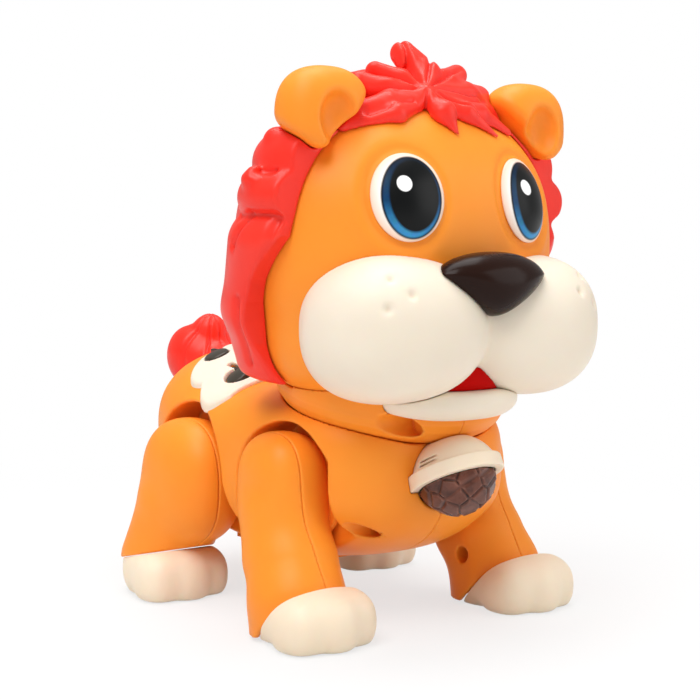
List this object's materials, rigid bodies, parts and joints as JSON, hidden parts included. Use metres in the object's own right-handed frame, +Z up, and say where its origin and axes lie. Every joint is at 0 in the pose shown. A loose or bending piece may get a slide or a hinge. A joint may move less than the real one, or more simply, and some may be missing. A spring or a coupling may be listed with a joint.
{
  "type": "musical crawling toy",
  "caption": "Moulded crawling lion toy with a turning head, swinging geared legs, sprung note keys on its back and a light projector on its chest.",
  "frame": {"origin": "middle of the bounding box on the floor", "axes": "+Z up, the lion faces -Y and its left side is +X"},
  "size_m": [0.143, 0.2194, 0.2166],
  "materials": {
    "orange": "satin moulded",
    "red": "satin moulded",
    "cream": "satin moulded",
    "nose": "glossy",
    "eye": "glossy, printed",
    "mouth": "satin",
    "dome": "translucent, cut in facets",
    "black": "satin",
    "steel": "plated",
    "board": "solder mask",
    "cell": "printed sleeve, plain",
    "contact": "nickel plated",
    "motor_can": "plated can",
    "grey": "moulded",
    "brass": "turned",
    "natural": "unpainted"
  },
  "bodies": {
    "torso": {"torso_right_shell": "orange", "torso_left_shell": "orange", "torso_screws": "steel", "key_plate": "cream", "tail": "red", "projector_cap": "cream", "projector_dome": "dome", "light_board": "board", "battery_box": "grey", "battery_cells": "cell", "battery_contacts": "contact", "battery_door": "orange", "circuit_board": "board", "speaker": "black", "motor": "motor_can", "gear_frame": "natural"},
    "head": {"face_shell": "orange", "mane_shell": "red", "forelock": "red", "ear_right": "orange", "ear_left": "orange", "eye_right": "eye", "eye_left": "eye", "muzzle": "cream", "lower_jaw": "cream", "mouth_insert": "mouth", "nose": "nose", "collar_right": "orange", "collar_left": "orange", "neck_spindle": "natural", "head_screws": "steel"},
    "front_right_leg": {"front_right_leg_outer": "orange", "front_right_leg_inner": "orange", "front_right_paw": "cream", "front_right_leg_screws": "steel"},
    "front_left_leg": {"front_left_leg_outer": "orange", "front_left_leg_inner": "orange", "front_left_paw": "cream", "front_left_leg_screws": "steel"},
    "rear_right_leg": {"rear_right_leg_outer": "orange", "rear_right_leg_inner": "orange", "rear_right_paw": "cream", "rear_right_leg_screws": "steel"},
    "rear_left_leg": {"rear_left_leg_outer": "orange", "rear_left_leg_inner": "orange", "rear_left_paw": "cream", "rear_left_leg_screws": "steel"},
    "key_front_right": {"key_front_right": "black"},
    "key_front_left": {"key_front_left": "black"},
    "key_rear_right": {"key_rear_right": "black"},
    "key_rear_left": {"key_rear_left": "black"},
    "power_switch": {"power_switch": "black"},
    "motor_pinion": {"motor_pinion": "brass"},
    "idler_gear": {"idler_gear": "natural"},
    "crank_shaft": {"crank_shaft": "natural"},
    "link_rod_right": {"link_rod_right": "natural"},
    "link_rod_left": {"link_rod_left": "natural"}
  },
  "joints": [
    {"name": "head_turn", "type": "hinge", "parent": "torso", "child": "head", "pos_m": [0, -0.0393, 0.077], "axis": [0, -0.2164, 0.9763], "range_deg": [-25, 25]},
    {"name": "front_right_leg_swing", "type": "hinge", "parent": "torso", "child": "front_right_leg", "pos_m": [-0.0303, -0.0343, 0.05], "axis": [1, 0, 0], "range_deg": [-10, 10]},
    {"name": "front_left_leg_swing", "type": "hinge", "parent": "torso", "child": "front_left_leg", "pos_m": [0.0303, -0.0343, 0.05], "axis": [1, 0, 0], "range_deg": [-10, 10]},
    {"name": "rear_right_leg_swing", "type": "hinge", "parent": "torso", "child": "rear_right_leg", "pos_m": [-0.0303, 0.0297, 0.05], "axis": [1, 0, 0], "range_deg": [-10, 10]},
    {"name": "rear_left_leg_swing", "type": "hinge", "parent": "torso", "child": "rear_left_leg", "pos_m": [0.0303, 0.0297, 0.05], "axis": [1, 0, 0], "range_deg": [-10, 10]},
    {"name": "link_rod_right_pin", "type": "hinge", "parent": "front_right_leg", "child": "link_rod_right", "pos_m": [-0.0229, -0.0343, 0.064], "axis": [1, 0, 0], "range_deg": [-10, 10]},
    {"name": "link_rod_left_pin", "type": "hinge", "parent": "front_left_leg", "child": "link_rod_left", "pos_m": [0.0229, -0.0343, 0.064], "axis": [1, 0, 0], "range_deg": [-10, 10]},
    {"name": "key_front_right_press", "type": "slide", "parent": "torso", "child": "key_front_right", "axis": [-0.5878, 0, 0.809], "range_m": [-0.0015, 0], "stiffness_N_per_m": 400},
    {"name": "key_front_left_press", "type": "slide", "parent": "torso", "child": "key_front_left", "axis": [0.5878, 0, 0.809], "range_m": [-0.0015, 0], "stiffness_N_per_m": 400},
    {"name": "key_rear_right_press", "type": "slide", "parent": "torso", "child": "key_rear_right", "axis": [-0.4226, 0, 0.9063], "range_m": [-0.0015, 0], "stiffness_N_per_m": 400},
    {"name": "key_rear_left_press", "type": "slide", "parent": "torso", "child": "key_rear_left", "axis": [0.4226, 0, 0.9063], "range_m": [-0.0015, 0], "stiffness_N_per_m": 400},
    {"name": "power_switch_slide", "type": "slide", "parent": "torso", "child": "power_switch", "axis": [1, 0, 0], "range_m": [-0.003, 0.003]},
    {"name": "crank_shaft_spin", "type": "hinge", "parent": "torso", "child": "crank_shaft", "pos_m": [0, -0.0023, 0.064], "axis": [1, 0, 0], "continuous": true},
    {"name": "idler_gear_spin", "type": "hinge", "parent": "torso", "child": "idler_gear", "pos_m": [0, 0.0159, 0.05788], "axis": [1, 0, 0], "continuous": true},
    {"name": "motor_pinion_spin", "type": "hinge", "parent": "torso", "child": "motor_pinion", "pos_m": [0, 0.0345, 0.05312], "axis": [1, 0, 0], "continuous": true}
  ],
  "couplings": [
    {"joint": "front_left_leg_swing", "follows": "front_right_leg_swing", "ratio": -1},
    {"joint": "rear_right_leg_swing", "follows": "front_right_leg_swing", "ratio": 1},
    {"joint": "rear_left_leg_swing", "follows": "front_right_leg_swing", "ratio": -1},
    {"joint": "link_rod_right_pin", "follows": "front_right_leg_swing", "ratio": -1},
    {"joint": "link_rod_left_pin", "follows": "front_right_leg_swing", "ratio": 1},
    {"joint": "idler_gear_spin", "follows": "crank_shaft_spin", "ratio": -3},
    {"joint": "motor_pinion_spin", "follows": "crank_shaft_spin", "ratio": 9}
  ]
}
